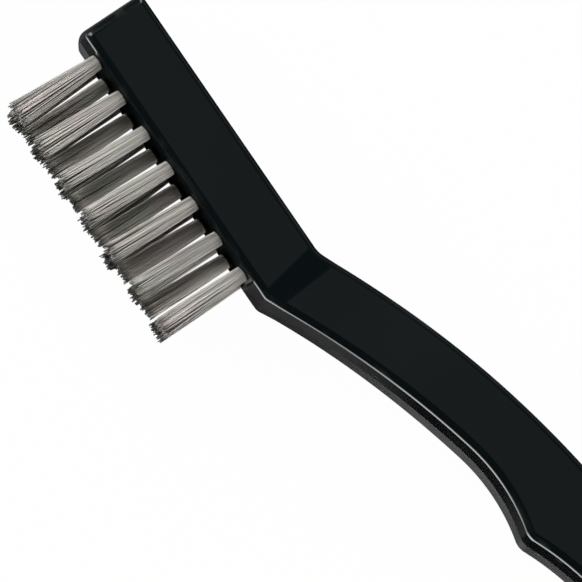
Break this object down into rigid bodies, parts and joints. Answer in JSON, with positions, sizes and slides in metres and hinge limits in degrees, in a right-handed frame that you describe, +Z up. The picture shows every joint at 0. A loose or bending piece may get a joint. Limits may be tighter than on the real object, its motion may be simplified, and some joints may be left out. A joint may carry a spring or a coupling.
{
  "type": "instrument cleaning brush",
  "caption": "Hand wire brush in the form of a toothbrush: cranked plastic handle with a finger stop and a hanging hole, and staggered rows of stainless wire tufts.",
  "frame": {"origin": "on the flat side that the brush lies on, in the middle of the grip's thickness at the top of its arch", "axes": "+X along the tuft face from the head to the tail, the tufts point to -Y, +Z up across the width"},
  "size_m": [0.184, 0.0363, 0.0127],
  "materials": {
    "black_plastic": "moulded polypropylene, satin, faint orange peel, polished edges",
    "bristle_wire": "drawn stainless wire, bright, slightly crimped by cutting, ends sheared square",
    "anchor_wire": "flat drawn steel wire, sheared to length"
  },
  "bodies": {
    "root": {"handle": "black_plastic", "tuft_upper_row_1": "bristle_wire", "tuft_upper_row_2": "bristle_wire", "tuft_upper_row_3": "bristle_wire", "tuft_upper_row_4": "bristle_wire", "tuft_upper_row_5": "bristle_wire", "tuft_upper_row_6": "bristle_wire", "tuft_upper_row_7": "bristle_wire", "tuft_middle_row_1": "bristle_wire", "tuft_middle_row_2": "bristle_wire", "tuft_middle_row_3": "bristle_wire", "tuft_middle_row_4": "bristle_wire", "tuft_middle_row_5": "bristle_wire", "tuft_middle_row_6": "bristle_wire", "tuft_lower_row_1": "bristle_wire", "tuft_lower_row_2": "bristle_wire", "tuft_lower_row_3": "bristle_wire", "tuft_lower_row_4": "bristle_wire", "tuft_lower_row_5": "bristle_wire", "tuft_lower_row_6": "bristle_wire", "tuft_lower_row_7": "bristle_wire", "anchor_upper_row_1": "anchor_wire", "anchor_upper_row_2": "anchor_wire", "anchor_upper_row_3": "anchor_wire", "anchor_upper_row_4": "anchor_wire", "anchor_upper_row_5": "anchor_wire", "anchor_upper_row_6": "anchor_wire", "anchor_upper_row_7": "anchor_wire", "anchor_middle_row_1": "anchor_wire", "anchor_middle_row_2": "anchor_wire", "anchor_middle_row_3": "anchor_wire", "anchor_middle_row_4": "anchor_wire", "anchor_middle_row_5": "anchor_wire", "anchor_middle_row_6": "anchor_wire", "anchor_lower_row_1": "anchor_wire", "anchor_lower_row_2": "anchor_wire", "anchor_lower_row_3": "anchor_wire", "anchor_lower_row_4": "anchor_wire", "anchor_lower_row_5": "anchor_wire", "anchor_lower_row_6": "anchor_wire", "anchor_lower_row_7": "anchor_wire"}
  },
  "joints": []
}
